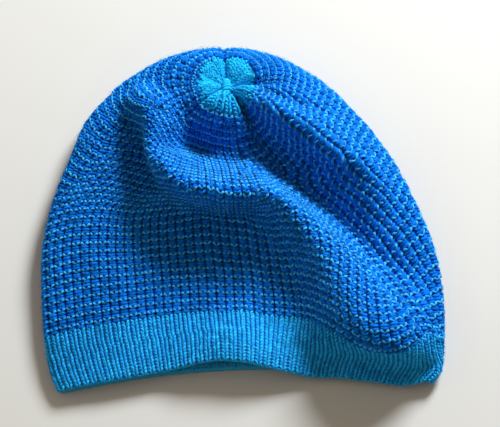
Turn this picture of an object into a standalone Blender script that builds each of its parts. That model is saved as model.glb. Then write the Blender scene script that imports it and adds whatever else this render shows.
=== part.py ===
"""A knitted wool beanie, hollow, lying on its back on a table as it was laid down.

Metres, +Z up, the brim towards -Y and the gathered crown towards +Y.
The knit is one smooth skin: rings from the hem to the crown, given in RINGS,
with the folds of FOLDS raised or pressed into its upper face and the creases
of CREASES drawn in round the gather. The pieces are cut from that skin by
length of fabric, and each is a wall as thick as the knit.
"""

import bmesh
import bpy
import numpy as np

KNIT_COLUMNS = 92
LYING_WIDTH = 0.258
LYING_LENGTH = 0.237
LYING_HEIGHT = 0.044
WALL = 0.0032
JOINT_GAP = 0.0006
BAND_HEIGHT = 0.038
BAND_ROWS = 3
RIB_RELIEF = 0.0012
BODY_ROWS = 26
GATHER_LENGTH = 0.020
GATHER_ROWS = 3
KNOT_HALF_WIDTH = 0.0026
KNOT_HALF_LENGTH = 0.0048
KNOT_RISE = 0.0016
KNOT_SPREAD = 0.5
KNOT_COLUMNS = 46
FLOOR_BLEND_HEIGHT = 0.002
MOUTH_STIFFNESS = 0.12
EDGE_PINCH = 0.55
EDGE_TURNS = (0.25, 0.75)
EDGE_SPREAD = 0.014
SHARP_ANGLE = 1.4

FINE_ROWS = 200
FINE_AROUND = 4 * KNIT_COLUMNS

# share runs from the hem (0) to the crown (1); y is a share of the lying length from the hem,
# z of the lying height, half_width and centre_x of the lying width; arch and skew move the
# middle and the right side of a ring along y
RING = (
    "share", "front_y", "front_z", "back_y", "back_z",
    "half_width", "centre_x", "arch", "squareness", "skew",
)
RINGS = (
    (0.00, 0.012, 0.22, 0.002, -0.03, 0.466, 0.010, 0.058, 4.0, 0.016),
    (0.08, 0.078, 0.29, 0.065, -0.05, 0.487, 0.010, 0.061, 3.8, 0.015),
    (0.16, 0.148, 0.37, 0.150, -0.08, 0.496, 0.005, 0.062, 3.5, 0.012),
    (0.28, 0.265, 0.47, 0.290, -0.12, 0.500, 0.000, 0.060, 3.0, 0.004),
    (0.40, 0.375, 0.56, 0.440, -0.14, 0.490, -0.010, 0.050, 2.7, 0.0),
    (0.52, 0.485, 0.63, 0.600, -0.14, 0.455, -0.021, 0.040, 2.4, 0.0),
    (0.64, 0.590, 0.70, 0.760, -0.12, 0.402, -0.030, 0.025, 2.3, 0.0),
    (0.75, 0.680, 0.76, 0.895, -0.06, 0.339, -0.047, 0.010, 2.2, 0.0),
    (0.84, 0.745, 0.82, 0.982, 0.22, 0.250, -0.048, 0.0, 2.1, 0.0),
    (0.91, 0.790, 0.86, 0.978, 0.66, 0.161, -0.047, 0.0, 2.0, 0.0),
    (0.96, 0.822, 0.86, 0.915, 0.84, 0.085, -0.043, 0.0, 2.0, 0.0),
    (1.00, 0.850, 0.80, 0.850, 0.80, 0.000, -0.040, 0.0, 2.0, 0.0),
)

# a fold is a line over the upper face, from left to right: x from the middle and y from the hem,
# how far it spreads to the brim side and to the far side, how high it stands, and how far its
# crest leans; all but y, rise and lean_y are shares of the width, those of the height and length
STATION = ("x", "y", "near_width", "far_width", "rise", "lean_x", "lean_y")
FOLDS = {
    "ridge": (
        (-0.290, 0.86, 0.030, 0.040, 0.00, 0.00, 0.00),
        (-0.245, 0.80, 0.030, 0.040, 0.30, -0.02, -0.01),
        (-0.195, 0.74, 0.034, 0.038, 0.50, -0.035, -0.02),
        (-0.170, 0.67, 0.038, 0.036, 0.58, -0.04, -0.03),
        (-0.125, 0.605, 0.045, 0.036, 0.60, -0.01, -0.05),
        (-0.060, 0.585, 0.048, 0.036, 0.60, 0.00, -0.06),
        (0.010, 0.585, 0.048, 0.036, 0.60, 0.00, -0.055),
        (0.080, 0.560, 0.052, 0.034, 0.58, -0.005, -0.045),
        (0.155, 0.495, 0.062, 0.034, 0.56, -0.01, -0.035),
        (0.230, 0.410, 0.075, 0.034, 0.56, -0.01, -0.03),
        (0.305, 0.315, 0.085, 0.036, 0.55, -0.01, -0.045),
        (0.370, 0.238, 0.080, 0.044, 0.52, 0.00, -0.07),
        (0.425, 0.190, 0.065, 0.055, 0.36, 0.00, -0.06),
        (0.470, 0.160, 0.050, 0.055, 0.12, 0.00, -0.02),
        (0.500, 0.140, 0.050, 0.050, 0.00, 0.00, 0.00),
    ),
    "brow": (
        (0.130, 0.205, 0.050, 0.080, 0.02, 0.00, -0.02),
        (0.180, 0.205, 0.050, 0.080, 0.12, 0.00, -0.06),
        (0.240, 0.205, 0.055, 0.080, 0.22, 0.00, -0.085),
        (0.320, 0.200, 0.055, 0.080, 0.25, 0.00, -0.085),
        (0.390, 0.190, 0.055, 0.070, 0.18, 0.00, -0.06),
        (0.450, 0.180, 0.040, 0.060, 0.10, 0.00, -0.02),
    ),
    "mouth": (
        (-0.200, 0.06, 0.08, 0.08, 0.00, 0.00, 0.00),
        (-0.100, 0.07, 0.10, 0.10, 0.12, 0.00, 0.00),
        (0.000, 0.07, 0.10, 0.10, 0.16, 0.00, 0.00),
        (0.100, 0.07, 0.08, 0.08, 0.06, 0.00, -0.01),
        (0.180, 0.06, 0.08, 0.08, -0.06, 0.00, -0.03),
        (0.300, 0.05, 0.07, 0.07, -0.08, 0.00, -0.04),
        (0.400, 0.05, 0.07, 0.07, -0.05, 0.00, -0.03),
        (0.460, 0.04, 0.06, 0.06, 0.00, 0.00, 0.00),
    ),
    "pocket": (
        (-0.190, 0.79, 0.035, 0.035, 0.00, 0.00, 0.00),
        (-0.150, 0.745, 0.045, 0.045, -0.30, 0.00, 0.00),
        (-0.105, 0.705, 0.052, 0.050, -0.46, 0.00, 0.00),
        (-0.050, 0.690, 0.055, 0.052, -0.46, 0.00, 0.00),
        (0.010, 0.680, 0.050, 0.050, -0.40, 0.00, 0.00),
        (0.055, 0.660, 0.050, 0.050, -0.16, 0.00, 0.00),
    ),
    "right_valley": (
        (-0.010, 0.79, 0.028, 0.028, -0.08, 0.00, 0.00),
        (0.050, 0.73, 0.035, 0.040, -0.32, 0.00, 0.00),
        (0.130, 0.62, 0.045, 0.065, -0.44, 0.00, 0.00),
        (0.220, 0.49, 0.045, 0.065, -0.38, 0.00, 0.00),
        (0.310, 0.36, 0.045, 0.060, -0.25, 0.00, 0.00),
        (0.390, 0.24, 0.045, 0.050, 0.00, 0.00, 0.00),
    ),
    "shoulder": (
        (0.035, 0.840, 0.030, 0.030, 0.00, 0.00, 0.00),
        (0.085, 0.810, 0.040, 0.040, 0.12, 0.00, 0.00),
        (0.160, 0.765, 0.050, 0.045, 0.20, 0.00, -0.01),
        (0.250, 0.690, 0.055, 0.045, 0.22, 0.00, -0.01),
        (0.330, 0.580, 0.055, 0.045, 0.16, 0.00, 0.00),
        (0.380, 0.470, 0.050, 0.045, 0.00, 0.00, 0.00),
    ),
    "dent": (
        (-0.270, 0.78, 0.040, 0.030, 0.00, 0.00, 0.00),
        (-0.250, 0.70, 0.055, 0.040, -0.22, 0.00, 0.00),
        (-0.222, 0.60, 0.080, 0.070, -0.27, 0.00, 0.00),
        (-0.160, 0.47, 0.150, 0.150, -0.25, 0.00, 0.00),
        (-0.040, 0.38, 0.200, 0.200, -0.24, 0.00, 0.00),
        (0.080, 0.30, 0.120, 0.120, -0.18, 0.00, 0.00),
        (0.150, 0.18, 0.080, 0.080, -0.10, 0.00, 0.00),
    ),
}

# turn 0 is the back's middle, 0.25 the left edge, 0.5 the front's middle, 0.75 the right edge;
# depth, width and reach are shares of the gather's length
CREASE = ("turn", "depth", "width", "reach")
CREASES = (
    (0.000, 0.26, 0.24, 2.0),
    (0.090, 0.15, 0.22, 1.2),
    (0.200, 0.12, 0.22, 1.2),
    (0.420, 0.20, 0.20, 1.7),
    (0.562, 0.21, 0.22, 3.0),
    (0.735, 0.20, 0.26, 2.5),
    (0.850, 0.14, 0.22, 1.2),
)

WOOLS = {
    "light_wool": (0.022, 0.270, 0.680),
    "blue_wool": (0.004, 0.085, 0.400),
    "turquoise_wool": (0.012, 0.330, 0.700),
}


def table_columns(names, rows):
    """Each named column of a table as an array."""
    return dict(zip(names, np.array(rows, float).T))


def smooth(x, y, at):
    """A cubic curve through a table's points, read at each value of at."""
    h = np.diff(x)
    slope = np.diff(y) / h
    m = np.empty_like(y)
    m[1:-1] = (h[1:] * slope[:-1] + h[:-1] * slope[1:]) / (h[1:] + h[:-1])
    m[0], m[-1] = slope[0], slope[-1]
    i = np.clip(np.searchsorted(x, at, side="right") - 1, 0, len(x) - 2)
    t = (at - x[i]) / h[i]
    start = (2 * t**3 - 3 * t**2 + 1) * y[i] + (t**3 - 2 * t**2 + t) * h[i] * m[i]
    end = (3 * t**2 - 2 * t**3) * y[i + 1] + (t**3 - t**2) * h[i] * m[i + 1]
    return start + end


def ease(t):
    t = np.clip(t, 0.0, 1.0)
    return t * t * (3 - 2 * t)


def on_floor(z, floor, blend):
    """z, never under the floor, rounded where it comes down on it."""
    d = z - floor
    return floor + np.where(d > blend, d, np.where(d < -blend, 0.0, (d + blend) ** 2 / (4 * blend)))


def resting_rings(shares, turns):
    """The skin without its folds, a ring of points for each share."""
    table = table_columns(RING, RINGS)
    col = {name: smooth(table["share"], table[name], shares)[:, None] for name in RING}
    angle = (-np.pi / 2 - 2 * np.pi * turns)[None, :]
    power = 2.0 / col["squareness"]
    across = np.sign(np.cos(angle)) * np.abs(np.cos(angle)) ** power
    up = np.sign(np.sin(angle)) * np.abs(np.sin(angle)) ** power
    front = (1 + up) / 2
    x = (col["centre_x"] + col["half_width"] * across) * LYING_WIDTH
    y = col["back_y"] + (col["front_y"] - col["back_y"]) * front
    y = (y + col["arch"] * (1 - across**2) + col["skew"] * across) * LYING_LENGTH
    z = (col["back_z"] + (col["front_z"] - col["back_z"]) * front) * LYING_HEIGHT
    return np.stack([x, y, on_floor(z, WALL / 2, FLOOR_BLEND_HEIGHT)], -1)


def fold_line(stations, steps=12):
    """Points of a smooth curve through a fold's stations, with the stations' other columns."""
    table = table_columns(STATION, stations)
    place = np.arange(len(stations), dtype=float)
    at = np.linspace(0, place[-1], steps * (len(stations) - 1) + 1)
    line = {name: smooth(place, values, at) for name, values in table.items()}
    line["x"] = line["x"] * LYING_WIDTH
    line["y"] = line["y"] * LYING_LENGTH
    return line


def fold_shift(points, stations):
    """How far a fold moves each point of the skin."""
    line = fold_line(stations)
    path = np.stack([line["x"], line["y"]], -1)
    rest = np.stack([line[n] for n in ("near_width", "far_width", "rise", "lean_x", "lean_y")], -1)
    nearest = np.full(points.shape[:-1], np.inf)
    side = np.zeros(points.shape[:-1])
    here = np.zeros(points.shape[:-1] + (5,))
    for k in range(len(path) - 1):
        run = path[k + 1] - path[k]
        from_start = points[..., :2] - path[k]
        u = np.clip(from_start @ run / (run @ run), 0, 1)
        off = from_start - u[..., None] * run
        distance = np.hypot(off[..., 0], off[..., 1])
        closer = distance < nearest
        nearest = np.where(closer, distance, nearest)
        turn = run[0] * from_start[..., 1] - run[1] * from_start[..., 0]
        side = np.where(closer, turn, side)
        mixed = rest[k] + u[..., None] * (rest[k + 1] - rest[k])
        here = np.where(closer[..., None], mixed, here)
    width = np.where(side < 0, here[..., 0], here[..., 1]) * LYING_WIDTH
    bell = 0.5 + 0.5 * np.cos(np.pi * np.clip(nearest / (2 * width), 0, 1))
    sizes = np.array([LYING_WIDTH, LYING_LENGTH, LYING_HEIGHT])
    return bell[..., None] * np.stack([here[..., 3], here[..., 4], here[..., 2]], -1) * sizes


def lengths_along(grid):
    """Length of fabric from the hem to each point of each column."""
    step = np.linalg.norm(np.diff(grid, axis=0), axis=-1)
    return np.concatenate([np.zeros((1, grid.shape[1])), np.cumsum(step, 0)])


def even_around(grid):
    """The same rings with their columns evenly spaced, as knitted columns are."""
    evened = np.empty_like(grid)
    share = np.linspace(0, 1, grid.shape[1])
    for i, ring in enumerate(grid):
        run = np.concatenate([[0.0], np.cumsum(np.linalg.norm(np.diff(ring, axis=0), axis=-1))])
        if run[-1] <= 0:
            evened[i] = ring
            continue
        for c in range(3):
            evened[i, :, c] = np.interp(share * run[-1], run, ring[:, c])
    return evened


def outward(grid):
    """Normals of the skin, away from the hollow."""
    closed = np.concatenate([grid[:, -2:-1], grid, grid[:, 1:2]], 1)
    normal = np.cross(closed[:, 2:] - closed[:, :-2], np.gradient(grid, axis=0))
    normal[-1] = normal[-2].mean(0)
    size = np.linalg.norm(normal, axis=-1, keepdims=True)
    return normal / np.maximum(size, 1e-12)


def drawn_in(grid, turns):
    """The skin with its creases round the gather."""
    along = lengths_along(grid)
    left = (along[-1] - along) / GATHER_LENGTH
    girth = np.linalg.norm(np.diff(grid, axis=1), axis=-1).sum(1)[:, None] / GATHER_LENGTH
    amount = np.zeros(left.shape)
    for row in CREASES:
        crease = dict(zip(CREASE, row))
        off = np.abs((turns - crease["turn"] + 0.5) % 1 - 0.5)[None, :] * girth
        reach = ease(left / 0.9) * (1 - ease(left / crease["reach"]))
        amount += crease["depth"] * reach * np.exp(-(off / crease["width"]) ** 2)
    return grid - outward(grid) * amount[..., None] * GATHER_LENGTH


def knit_skin():
    """Mid-surface of the knit: points, normals and lengths on a fine grid."""
    shares = np.linspace(0, 1, FINE_ROWS)
    turns = np.linspace(0, 1, FINE_AROUND + 1)
    grid = resting_rings(shares, turns)
    lifted = ease((grid[..., 2:] / LYING_HEIGHT - MOUTH_STIFFNESS / 2) / MOUTH_STIFFNESS)
    grid = grid + lifted * sum(fold_shift(grid, stations) for stations in FOLDS.values())
    half = FINE_AROUND // 2
    left, right = even_around(grid[:, : half + 1]), even_around(grid[:, half:])
    grid = drawn_in(np.concatenate([left, right[:, 1:]], 1), turns)
    along = lengths_along(grid)
    normal = outward(grid)
    at_pole = 1 - ease((along[-1] - along)[..., None] / (KNOT_SPREAD * GATHER_LENGTH))
    normal = normal + at_pole * (normal[-1, 0] - normal)
    return grid, normal, along


def read_skin(skin, lengths, around):
    """Points and normals of the skin at a grid of lengths, a column for each turn of around."""
    grid, normal, along = skin
    step = FINE_AROUND // around
    points = np.empty(lengths.shape + (3,))
    normals = np.empty(lengths.shape + (3,))
    for j in range(lengths.shape[1]):
        run = along[:, j * step]
        for c in range(3):
            points[:, j, c] = np.interp(lengths[:, j], run, grid[:, j * step, c])
            normals[:, j, c] = np.interp(lengths[:, j], run, normal[:, j * step, c])
    return points, normals / np.linalg.norm(normals, axis=-1, keepdims=True)


def with_ribs(points, normals):
    """A column between each two, lifted into a rib, and each given its distance outward."""
    between = (points + np.roll(points, -1, 1)) / 2
    lean = normals + np.roll(normals, -1, 1)
    lean = lean / np.linalg.norm(lean, axis=-1, keepdims=True)
    both = np.stack([points, between], 2).reshape(len(points), -1, 3)
    away = np.stack([normals, lean], 2).reshape(len(points), -1, 3)
    relief = np.tile([0.0, RIB_RELIEF], points.shape[1])[None, :, None]
    return both, away, relief


def stitched(across, upper, lower):
    """Faces between two closed rings of vertex numbers, the lower one as many or half as many."""
    faces = []
    ratio = len(upper) // len(lower)
    for j in range(len(upper)):
        k = (j + 1) % len(upper)
        a, b = lower[j // ratio], lower[((j + 1) // ratio) % len(lower)]
        faces.append((upper[j], upper[k], b, a) if a != b else (upper[j], upper[k], a))
    return faces if across > 0 else [face[::-1] for face in faces]


def wall_mesh(outer, inner):
    """A closed wall between two grids of rings, each ring closed on itself."""
    rings_out, around_out = outer.shape[:2]
    rings_in, around_in = inner.shape[:2]
    vertices = np.concatenate([outer.reshape(-1, 3), inner.reshape(-1, 3)])
    vertices[:, 2] = np.where(vertices[:, 2] < WALL / 20, 0.0, vertices[:, 2])
    out = np.arange(rings_out * around_out).reshape(rings_out, around_out).tolist()
    start = rings_out * around_out
    within = (start + np.arange(rings_in * around_in).reshape(rings_in, around_in)).tolist()
    faces = []
    for i in range(rings_out - 1):
        faces += stitched(1, out[i], out[i + 1])
    for i in range(rings_in - 1):
        faces += stitched(-1, within[i], within[i + 1])
    faces += stitched(-1, out[0], within[0])
    faces += stitched(1, out[-1], within[-1])
    return vertices, faces


def disc_mesh(outer, inner, rise):
    """A closed plug: two domed faces, ring by ring to a point, and a rim."""
    vertices, faces = wall_mesh(outer, inner)
    around = outer.shape[1]
    faces = faces[: 2 * (len(outer) - 1) * around + around]
    poles = (outer[-1].mean(0) + rise[0], inner[-1].mean(0) + rise[1])
    vertices = np.concatenate([vertices, poles])
    last_out = (len(outer) - 1) * around
    last_in = len(outer) * around + (len(inner) - 1) * around
    for j in range(around):
        k = (j + 1) % around
        faces.append((last_out + j, last_out + k, len(vertices) - 2))
        faces.append((last_in + k, last_in + j, len(vertices) - 1))
    return vertices, faces


def wool(name):
    material = bpy.data.materials.get(name) or bpy.data.materials.new(name)
    material.use_nodes = True
    shader = material.node_tree.nodes["Principled BSDF"]
    shader.inputs["Base Color"].default_value = (*WOOLS[name], 1.0)
    shader.inputs["Roughness"].default_value = 0.95
    material.diffuse_color = (*WOOLS[name], 1.0)
    return material


def add_piece(name, vertices, faces, material, origin):
    mesh = bpy.data.meshes.new(name)
    mesh.from_pydata((vertices - origin).tolist(), [], faces)
    work = bmesh.new()
    work.from_mesh(mesh)
    bmesh.ops.triangulate(work, faces=work.faces[:], quad_method="SHORT_EDGE")
    bmesh.ops.recalc_face_normals(work, faces=work.faces[:])
    work.to_mesh(mesh)
    work.free()
    mesh.materials.append(wool(material))
    mesh.shade_smooth()
    mesh.set_sharp_from_angle(angle=SHARP_ANGLE)
    piece = bpy.data.objects.new(name, mesh)
    bpy.context.scene.collection.objects.link(piece)
    return piece


def cut_wall(skin, start, end, rows, ribbed=False):
    """The wall of the knit between two lengths along every column."""
    share = np.linspace(0, 1, rows + 1)[:, None]
    lengths = start[None, :] + (end - start)[None, :] * share
    points, normals = read_skin(skin, lengths, KNIT_COLUMNS)
    turns = np.arange(KNIT_COLUMNS) / KNIT_COLUMNS
    pinch = sum(np.exp(-(((turns - edge) / EDGE_SPREAD) ** 2)) for edge in EDGE_TURNS)
    inner = points - normals * (1 - EDGE_PINCH * pinch)[None, :, None] * WALL / 2
    if ribbed:
        both, away, relief = with_ribs(points, normals)
        return wall_mesh(both + away * (WALL / 2 + relief), inner)
    return wall_mesh(points + normals * WALL / 2, inner)


def cut_knot(skin, start, total):
    """The plug of drawn-together yarn in the middle of the gather."""
    every = KNIT_COLUMNS // KNOT_COLUMNS
    share = np.array([0.0, 0.5])[:, None]
    lengths = (start[None, :] + (total - start)[None, :] * share)[:, ::every]
    points, normals = read_skin(skin, lengths, KNOT_COLUMNS)
    up = normals.mean((0, 1))
    up /= np.linalg.norm(up)
    outer = points + normals * WALL / 2
    outer[1] += up * 0.75 * KNOT_RISE
    inner = points - normals * WALL / 2
    return disc_mesh(outer, inner, (up * 0.25 * KNOT_RISE, up * 0.0))


def main():
    for old in list(bpy.data.objects):
        bpy.data.objects.remove(old)
    skin = knit_skin()
    step = FINE_AROUND // KNIT_COLUMNS
    total = skin[2][-1, :-1:step]
    turns = np.arange(KNIT_COLUMNS) / KNIT_COLUMNS
    gap = JOINT_GAP / 2
    hem = np.zeros(KNIT_COLUMNS)
    band_top = np.full(KNIT_COLUMNS, BAND_HEIGHT)
    gather = total - GATHER_LENGTH
    facing = 2 * np.pi * turns
    knot = total - 1 / np.hypot(np.sin(facing) / KNOT_HALF_WIDTH, np.cos(facing) / KNOT_HALF_LENGTH)
    pieces = {
        "ribbed_band": ("light_wool", cut_wall(skin, hem, band_top - gap, BAND_ROWS, True)),
        "knitted_body": ("blue_wool", cut_wall(skin, band_top + gap, gather - gap, BODY_ROWS)),
        "crown_gather": ("turquoise_wool", cut_wall(skin, gather + gap, knot - gap, GATHER_ROWS)),
        "gather_knot": ("turquoise_wool", cut_knot(skin, knot + gap, total)),
    }
    everything = np.concatenate([vertices for _, (vertices, _) in pieces.values()])
    low, high = everything.min(0), everything.max(0)
    origin = np.array([(low[0] + high[0]) / 2, (low[1] + high[1]) / 2, low[2]])
    for name, (material, (vertices, faces)) in pieces.items():
        add_piece(name, vertices, faces, material, origin)


main()
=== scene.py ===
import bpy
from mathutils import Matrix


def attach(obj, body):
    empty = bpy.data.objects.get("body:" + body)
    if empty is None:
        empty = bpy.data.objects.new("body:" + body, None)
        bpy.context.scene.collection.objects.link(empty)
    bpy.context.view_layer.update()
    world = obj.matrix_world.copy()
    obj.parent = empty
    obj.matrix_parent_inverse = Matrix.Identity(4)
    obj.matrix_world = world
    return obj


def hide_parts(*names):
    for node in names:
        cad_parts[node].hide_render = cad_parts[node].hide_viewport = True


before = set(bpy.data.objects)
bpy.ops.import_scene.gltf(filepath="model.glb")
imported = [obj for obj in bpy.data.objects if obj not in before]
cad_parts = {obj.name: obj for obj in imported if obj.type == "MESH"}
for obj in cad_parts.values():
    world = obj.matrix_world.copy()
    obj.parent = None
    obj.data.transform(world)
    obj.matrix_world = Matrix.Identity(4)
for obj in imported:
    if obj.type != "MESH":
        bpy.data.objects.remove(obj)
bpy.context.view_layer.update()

import bpy
import numpy as np
from bpy.props import FloatProperty, FloatVectorProperty, IntProperty, PointerProperty
from mathutils import Vector

bl_info = {
    "name": "Knitted wool beanie",
    "version": (1, 0, 0),
    "blender": (4, 5, 0),
    "location": "3D View > Sidebar > Beanie",
    "description": "A ribbed wool beanie lying on its back, knitted stitch by stitch over its solids",
    "category": "Object",
}

# The knit is one smooth skin, the same as the solids are cut from: rings from the hem to the
# crown, with folds raised or pressed into its upper face and creases drawn in round the gather.
# Every piece below is placed on it by knit column and by length of fabric from the hem.
KNIT_COLUMNS = 92
LYING_WIDTH = 0.258
LYING_LENGTH = 0.237
LYING_HEIGHT = 0.044
WALL = 0.0032
BAND_HEIGHT = 0.038
GATHER_LENGTH = 0.020
KNOT_HALF_WIDTH = 0.0026
KNOT_HALF_LENGTH = 0.0048
KNOT_SPREAD = 0.5
FLOOR_BLEND_HEIGHT = 0.002
MOUTH_STIFFNESS = 0.12
FINE_ROWS = 200
FINE_PER_COLUMN = 4
FINE_AROUND = FINE_PER_COLUMN * KNIT_COLUMNS
FINE_STEP = 0.0006
FOLD_STEPS = 12
BODY_LENGTH = 0.205
ROW_EVENING = 1.3
SKIN_ORIGIN = (0.000343, 0.116517, 0.0)
# the crown's yarn reaches past its solid by a margin, and by a lobe more at its near and far sides
CROWN_MARGIN = 0.0015
NEAR_LOBE = 0.0020
FAR_LOBE = 0.0042

# share runs from the hem (0) to the crown (1); y is a share of the lying length from the hem,
# z of the lying height, half_width and centre_x of the lying width; arch and skew move the
# middle and the right side of a ring along y
RING = (
    "share", "front_y", "front_z", "back_y", "back_z",
    "half_width", "centre_x", "arch", "squareness", "skew",
)
RINGS = (
    (0.0, 0.012, 0.22, 0.002, -0.03, 0.466, 0.01, 0.058, 4.0, 0.016),
    (0.08, 0.078, 0.29, 0.065, -0.05, 0.487, 0.01, 0.061, 3.8, 0.015),
    (0.16, 0.148, 0.37, 0.15, -0.08, 0.496, 0.005, 0.062, 3.5, 0.012),
    (0.28, 0.265, 0.47, 0.29, -0.12, 0.5, 0.0, 0.06, 3.0, 0.004),
    (0.4, 0.375, 0.56, 0.44, -0.14, 0.49, -0.01, 0.05, 2.7, 0.0),
    (0.52, 0.485, 0.63, 0.6, -0.14, 0.455, -0.021, 0.04, 2.4, 0.0),
    (0.64, 0.59, 0.7, 0.76, -0.12, 0.402, -0.03, 0.025, 2.3, 0.0),
    (0.75, 0.68, 0.76, 0.895, -0.06, 0.339, -0.047, 0.01, 2.2, 0.0),
    (0.84, 0.745, 0.82, 0.982, 0.22, 0.25, -0.048, 0.0, 2.1, 0.0),
    (0.91, 0.79, 0.86, 0.978, 0.66, 0.161, -0.047, 0.0, 2.0, 0.0),
    (0.96, 0.822, 0.86, 0.915, 0.84, 0.085, -0.043, 0.0, 2.0, 0.0),
    (1.0, 0.85, 0.8, 0.85, 0.8, 0.0, -0.04, 0.0, 2.0, 0.0),
)

# a fold is a line over the upper face, from left to right: x from the middle and y from the hem, how
# far it spreads to the brim side and to the far side, how high it stands, and how far its crest leans,
# in thousandths: y and lean_y of the length, rise of the height and the others of the width
STATION = ("x", "y", "near_width", "far_width", "rise", "lean_x", "lean_y")
FOLDS = {
    "ridge": (
        (-290, 860, 30, 40, 0),
        (-245, 800, 30, 40, 300, -20, -10),
        (-195, 740, 34, 38, 500, -35, -20),
        (-170, 670, 38, 36, 580, -40, -30),
        (-125, 605, 45, 36, 600, -10, -50),
        (-60, 585, 48, 36, 600, 0, -60),
        (10, 585, 48, 36, 600, 0, -55),
        (80, 560, 52, 34, 580, -5, -45),
        (155, 495, 62, 34, 560, -10, -35),
        (230, 410, 75, 34, 560, -10, -30),
        (305, 315, 85, 36, 550, -10, -45),
        (370, 238, 80, 44, 520, 0, -70),
        (425, 190, 65, 55, 360, 0, -60),
        (470, 160, 50, 55, 120, 0, -20),
        (500, 140, 50, 50, 0),
    ),
    "brow": (
        (130, 205, 50, 80, 20, 0, -20),
        (180, 205, 50, 80, 120, 0, -60),
        (240, 205, 55, 80, 220, 0, -85),
        (320, 200, 55, 80, 250, 0, -85),
        (390, 190, 55, 70, 180, 0, -60),
        (450, 180, 40, 60, 100, 0, -20),
    ),
    "mouth": (
        (-200, 60, 80, 80, 0),
        (-100, 70, 100, 100, 120),
        (0, 70, 100, 100, 160),
        (100, 70, 80, 80, 60, 0, -10),
        (180, 60, 80, 80, -60, 0, -30),
        (300, 50, 70, 70, -80, 0, -40),
        (400, 50, 70, 70, -50, 0, -30),
        (460, 40, 60, 60, 0),
    ),
    "pocket": (
        (-190, 790, 35, 35, 0),
        (-150, 745, 45, 45, -300),
        (-105, 705, 52, 50, -460),
        (-50, 690, 55, 52, -460),
        (10, 680, 50, 50, -400),
        (55, 660, 50, 50, -160),
    ),
    "right_valley": (
        (-10, 790, 28, 28, -80),
        (50, 730, 35, 40, -320),
        (130, 620, 45, 65, -440),
        (220, 490, 45, 65, -380),
        (310, 360, 45, 60, -250),
        (390, 240, 45, 50, 0),
    ),
    "shoulder": (
        (35, 840, 30, 30, 0),
        (85, 810, 40, 40, 120),
        (160, 765, 50, 45, 200, 0, -10),
        (250, 690, 55, 45, 220, 0, -10),
        (330, 580, 55, 45, 160),
        (380, 470, 50, 45, 0),
    ),
    "dent": (
        (-270, 780, 40, 30, 0),
        (-250, 700, 55, 40, -220),
        (-222, 600, 80, 70, -270),
        (-160, 470, 150, 150, -250),
        (-40, 380, 200, 200, -240),
        (80, 300, 120, 120, -180),
        (150, 180, 80, 80, -100),
    ),
}

# turn 0 is the back's middle, 0.25 the left edge, 0.5 the front's middle, 0.75 the right edge;
# depth, width and reach are shares of the gather's length
CREASE = ("turn", "depth", "width", "reach")
CREASES = (
    (0.0, 0.26, 0.24, 2.0),
    (0.09, 0.15, 0.22, 1.2),
    (0.2, 0.12, 0.22, 1.2),
    (0.42, 0.2, 0.2, 1.7),
    (0.562, 0.21, 0.22, 3.0),
    (0.735, 0.2, 0.26, 2.5),
    (0.85, 0.14, 0.22, 1.2),
)
# sharper pleats of the knit itself, drawn in along the same creases
PLEATS = (
    (0.0, 0.34, 0.1, 3.4),
    (0.09, 0.16, 0.08, 1.3),
    (0.2, 0.16, 0.08, 1.3),
    (0.42, 0.3, 0.1, 2.8),
    (0.562, 0.36, 0.11, 4.2),
    (0.735, 0.28, 0.1, 3.0),
    (0.85, 0.17, 0.08, 1.3),
)
# where creases and pleats come to their full depth, and how far the knit puffs out between them and
# from where to where, as shares of the gather's length
CREASE_START = 0.9
PLEAT_START = 0.3
PUFF = 0.09
PUFF_START = 0.5
PUFF_REACH = 1.9
# crinkles of the knit itself along the larger folds, with a fold's columns
CRINKLES = {
    "ridge_roll": (
        (-215, 760, 30, 30, 0),
        (-180, 690, 35, 35, 40, -12, -8),
        (-150, 630, 40, 36, 60, -25, -20),
        (-100, 600, 45, 36, 60, -18, -28),
        (-40, 585, 48, 36, 60, 0, -30),
        (30, 585, 48, 36, 50, 0, -28),
        (90, 560, 50, 34, 30, 0, -15),
        (150, 500, 60, 34, 0),
    ),
    "bowl_end": (
        (-195, 650, 18, 18, 0),
        (-172, 680, 22, 24, -100),
        (-145, 706, 26, 28, -160),
        (-110, 716, 28, 28, -120),
        (-60, 716, 28, 28, 0),
    ),
    "hem_lap": (
        (-440, 30, 50, 80, 0, 0, -14),
        (-300, 45, 50, 80, 0, 0, -18),
        (-150, 62, 50, 80, 0, 0, -12),
        (-60, 68, 50, 80, 0, 0, -8),
        (20, 70, 50, 80, 0, 0, -18),
        (90, 68, 50, 80, 0, 0, -24),
        (160, 62, 50, 80, 0, 0, -14),
        (240, 55, 50, 80, 0),
    ),
    "band_end": (
        (340, 120, 80, 50, 0),
        (400, 120, 80, 50, 0, 0, -18),
        (455, 125, 80, 55, 0, 0, -45),
        (500, 130, 80, 55, 0, 0, -50),
    ),
    "shoulder_crease": (
        (-5, 825, 14, 8, 0),
        (16, 796, 20, 10, -120),
        (52, 757, 26, 12, -180),
        (100, 712, 30, 13, -180),
        (169, 660, 30, 14, -140),
        (240, 600, 26, 16, -70),
        (300, 540, 24, 18, 0),
    ),
    "shoulder_crest": (
        (5, 845, 12, 16, 0),
        (45, 805, 14, 18, 70, 0, -8),
        (110, 760, 16, 22, 120, 0, -15),
        (180, 706, 18, 24, 120, 0, -15),
        (250, 655, 18, 24, 100, 0, -10),
        (317, 608, 18, 24, 60),
        (390, 540, 18, 24, 0),
    ),
    "upper_crease": (
        (20, 850, 12, 10, 0),
        (60, 828, 14, 12, -70),
        (110, 808, 18, 14, -100),
        (180, 790, 20, 16, -80),
        (250, 760, 20, 18, 0),
    ),
}
# the knit to the right of the diagonal fold was pulled round when the hat was laid down: its columns
# run beside the crest. tear is the turn where it meets the rest, guide the turn of TEAR_COLUMN
TEAR_COLUMN = 68
LEAST_COLUMN = 52
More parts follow.
